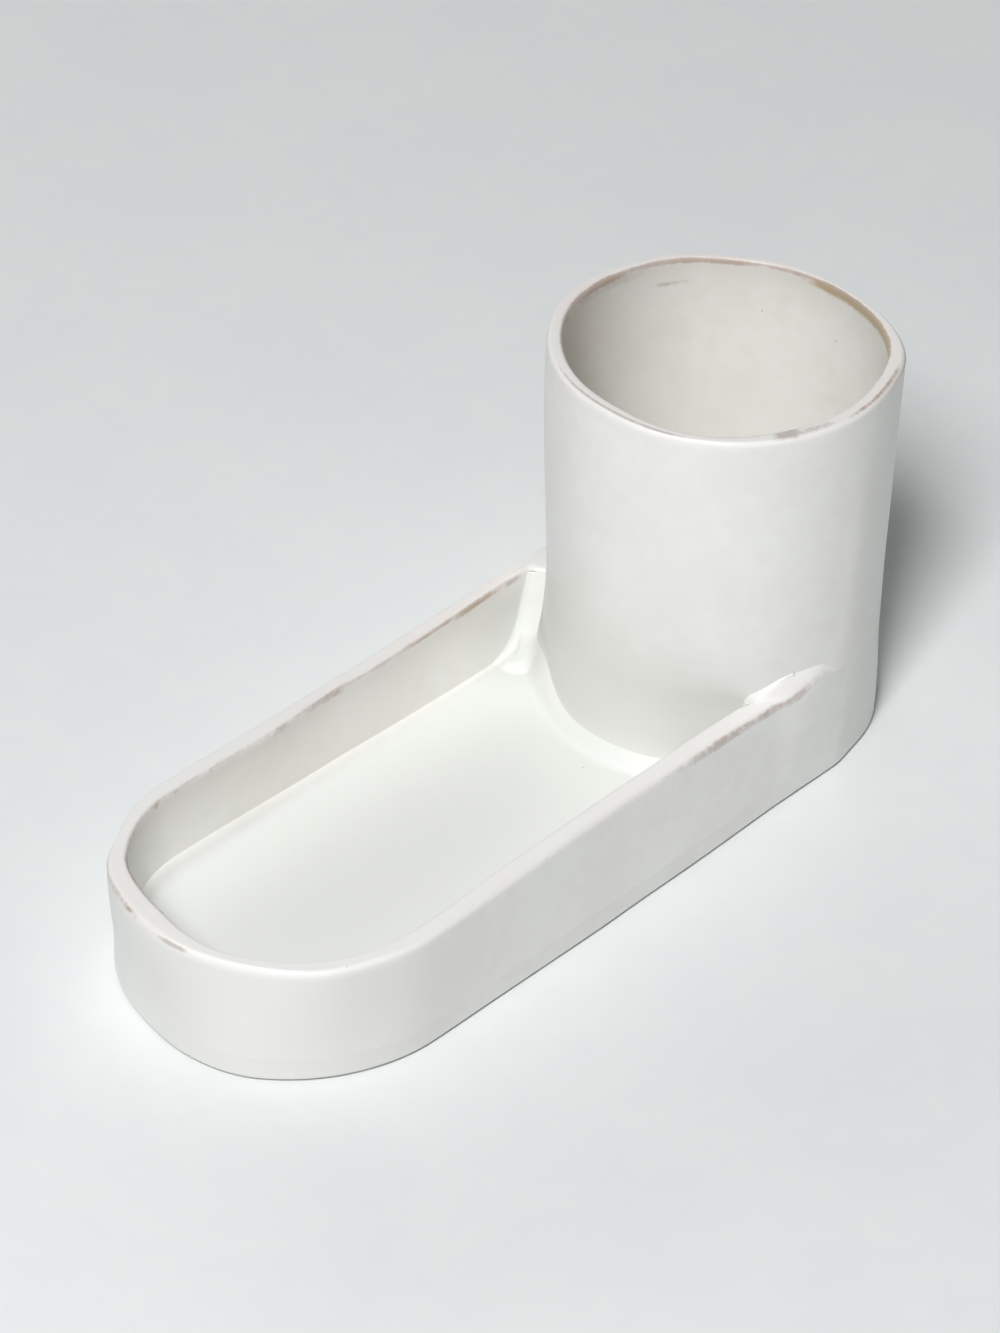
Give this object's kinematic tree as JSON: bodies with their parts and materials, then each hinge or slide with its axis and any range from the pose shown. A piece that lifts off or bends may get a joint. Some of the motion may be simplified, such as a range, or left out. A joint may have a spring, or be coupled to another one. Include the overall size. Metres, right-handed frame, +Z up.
{
  "type": "toothbrush holder",
  "caption": "Stoneware toothbrush holder: a round cup standing on one end of a long slab, with a low round-ended tray wall running from its sides.",
  "frame": {"origin": "on the surface it stands on, under the middle of its length and width", "axes": "+X along the length from the tray's round end to the cup, +Y across the width, +Z up"},
  "size_m": [0.218, 0.08, 0.0955],
  "materials": {
    "glaze": "glossy off-white glaze, pale cream where it pools and brown where it breaks over the rims",
    "bare_clay": "unglazed, wiped clean and matt"
  },
  "bodies": {
    "root": {"base_slab": "glaze", "foot_ring": "bare_clay", "tray_wall": "glaze", "cup_wall": "glaze", "tray_floor_coil": "glaze", "cup_foot_coil": "glaze", "corner_coil_front": "glaze", "corner_coil_back": "glaze", "rim_web_front": "glaze", "rim_web_back": "glaze", "cup_floor_coil": "glaze"}
  },
  "joints": []
}
